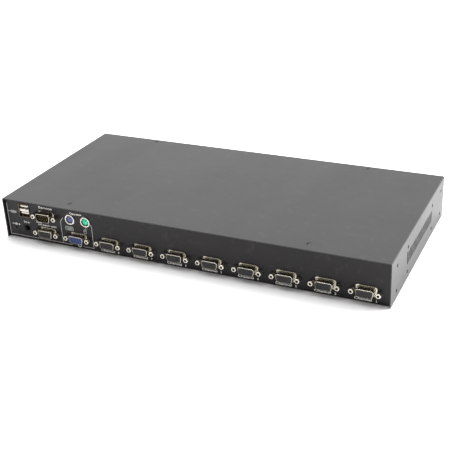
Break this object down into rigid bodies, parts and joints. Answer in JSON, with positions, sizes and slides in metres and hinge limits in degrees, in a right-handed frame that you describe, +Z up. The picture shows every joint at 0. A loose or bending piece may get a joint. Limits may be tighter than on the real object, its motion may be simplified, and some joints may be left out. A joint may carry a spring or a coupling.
{
  "type": "kvm switch",
  "caption": "Rack-mount keyboard, video and mouse switch: folded steel case, D-shaped computer ports with jack screws, console sockets and push buttons.",
  "frame": {"origin": "centre of the flat underside of the base tray, on the surface the unit stands on", "axes": "+Z up; -Y towards the connector side; +Y towards the button side; +X to the right for someone facing the connectors"},
  "size_m": [0.412, 0.2049, 0.0444],
  "materials": {
    "cover_paint": "satin charcoal powder coat",
    "wall_paint": "satin black powder coat",
    "fascia_plastic": "fine-textured black moulding",
    "screw_steel": "black oxide steel",
    "tin_plate": "warm tin plate over stamped steel",
    "black_plastic": "glass-filled black moulding",
    "blue_plastic": "video-blue moulding",
    "purple_plastic": "keyboard-purple moulding",
    "green_plastic": "mouse-green moulding",
    "white_plastic": "cream contact moulding",
    "button_plastic": "satin key cap",
    "circuit_board": "green solder mask",
    "ribbon_vinyl": "grey ribbon cable",
    "spacer_metal": "turned hexagonal spacer",
    "heat_sink": "extruded, plain",
    "clear_plastic": "frosted clear moulding",
    "display_window": "dark red display window"
  },
  "bodies": {
    "chassis": {"top_cover": "cover_paint", "base_tray": "wall_paint", "front_fascia": "fascia_plastic", "cover_screw_1": "screw_steel", "cover_screw_2": "screw_steel", "cover_screw_3": "screw_steel", "cover_screw_4": "screw_steel", "computer_port_shell_1": "tin_plate", "computer_port_insulator_1": "black_plastic", "computer_port_shell_2": "tin_plate", "computer_port_insulator_2": "black_plastic", "computer_port_shell_3": "tin_plate", "computer_port_insulator_3": "black_plastic", "computer_port_shell_4": "tin_plate", "computer_port_insulator_4": "black_plastic", "computer_port_shell_5": "tin_plate", "computer_port_insulator_5": "black_plastic", "computer_port_shell_6": "tin_plate", "computer_port_insulator_6": "black_plastic", "computer_port_shell_7": "tin_plate", "computer_port_insulator_7": "black_plastic", "computer_port_shell_8": "tin_plate", "computer_port_insulator_8": "black_plastic", "console_video_shell": "tin_plate", "console_video_insulator": "blue_plastic", "daisy_chain_shell": "tin_plate", "daisy_chain_insulator": "black_plastic", "serial_shell": "tin_plate", "serial_insulator": "black_plastic", "keyboard_port_shield": "tin_plate", "keyboard_port_insert": "purple_plastic", "mouse_port_shield": "tin_plate", "mouse_port_insert": "green_plastic", "usb_shell": "tin_plate", "usb_insert": "white_plastic", "dc_jack_housing": "black_plastic", "dc_jack_pin": "tin_plate", "main_board": "circuit_board", "console_board": "circuit_board", "button_board": "circuit_board", "ribbon_cable": "ribbon_vinyl", "board_spacer_1": "spacer_metal", "board_spacer_2": "spacer_metal", "board_spacer_3": "spacer_metal", "board_spacer_4": "spacer_metal", "board_link": "black_plastic", "buzzer": "black_plastic", "regulator_heat_sink": "heat_sink", "light_guide": "clear_plastic", "bank_display": "display_window", "power_indicator": "clear_plastic"},
    "button_1": {"select_button_1": "button_plastic"},
    "button_2": {"select_button_2": "button_plastic"},
    "button_3": {"select_button_3": "button_plastic"},
    "button_4": {"select_button_4": "button_plastic"},
    "button_5": {"select_button_5": "button_plastic"},
    "button_6": {"select_button_6": "button_plastic"},
    "button_7": {"select_button_7": "button_plastic"},
    "button_8": {"select_button_8": "button_plastic"},
    "reset": {"reset_button": "button_plastic"}
  },
  "joints": [
    {"name": "button_1_press", "type": "slide", "parent": "chassis", "child": "button_1", "axis": [0, -1, 0], "range_m": [0, 0.0008], "stiffness_N_per_m": 2000},
    {"name": "button_2_press", "type": "slide", "parent": "chassis", "child": "button_2", "axis": [0, -1, 0], "range_m": [0, 0.0008], "stiffness_N_per_m": 2000},
    {"name": "button_3_press", "type": "slide", "parent": "chassis", "child": "button_3", "axis": [0, -1, 0], "range_m": [0, 0.0008], "stiffness_N_per_m": 2000},
    {"name": "button_4_press", "type": "slide", "parent": "chassis", "child": "button_4", "axis": [0, -1, 0], "range_m": [0, 0.0008], "stiffness_N_per_m": 2000},
    {"name": "button_5_press", "type": "slide", "parent": "chassis", "child": "button_5", "axis": [0, -1, 0], "range_m": [0, 0.0008], "stiffness_N_per_m": 2000},
    {"name": "button_6_press", "type": "slide", "parent": "chassis", "child": "button_6", "axis": [0, -1, 0], "range_m": [0, 0.0008], "stiffness_N_per_m": 2000},
    {"name": "button_7_press", "type": "slide", "parent": "chassis", "child": "button_7", "axis": [0, -1, 0], "range_m": [0, 0.0008], "stiffness_N_per_m": 2000},
    {"name": "button_8_press", "type": "slide", "parent": "chassis", "child": "button_8", "axis": [0, -1, 0], "range_m": [0, 0.0008], "stiffness_N_per_m": 2000},
    {"name": "reset_press", "type": "slide", "parent": "chassis", "child": "reset", "axis": [0, 1, 0], "range_m": [0, 0.0003], "stiffness_N_per_m": 2000}
  ]
}
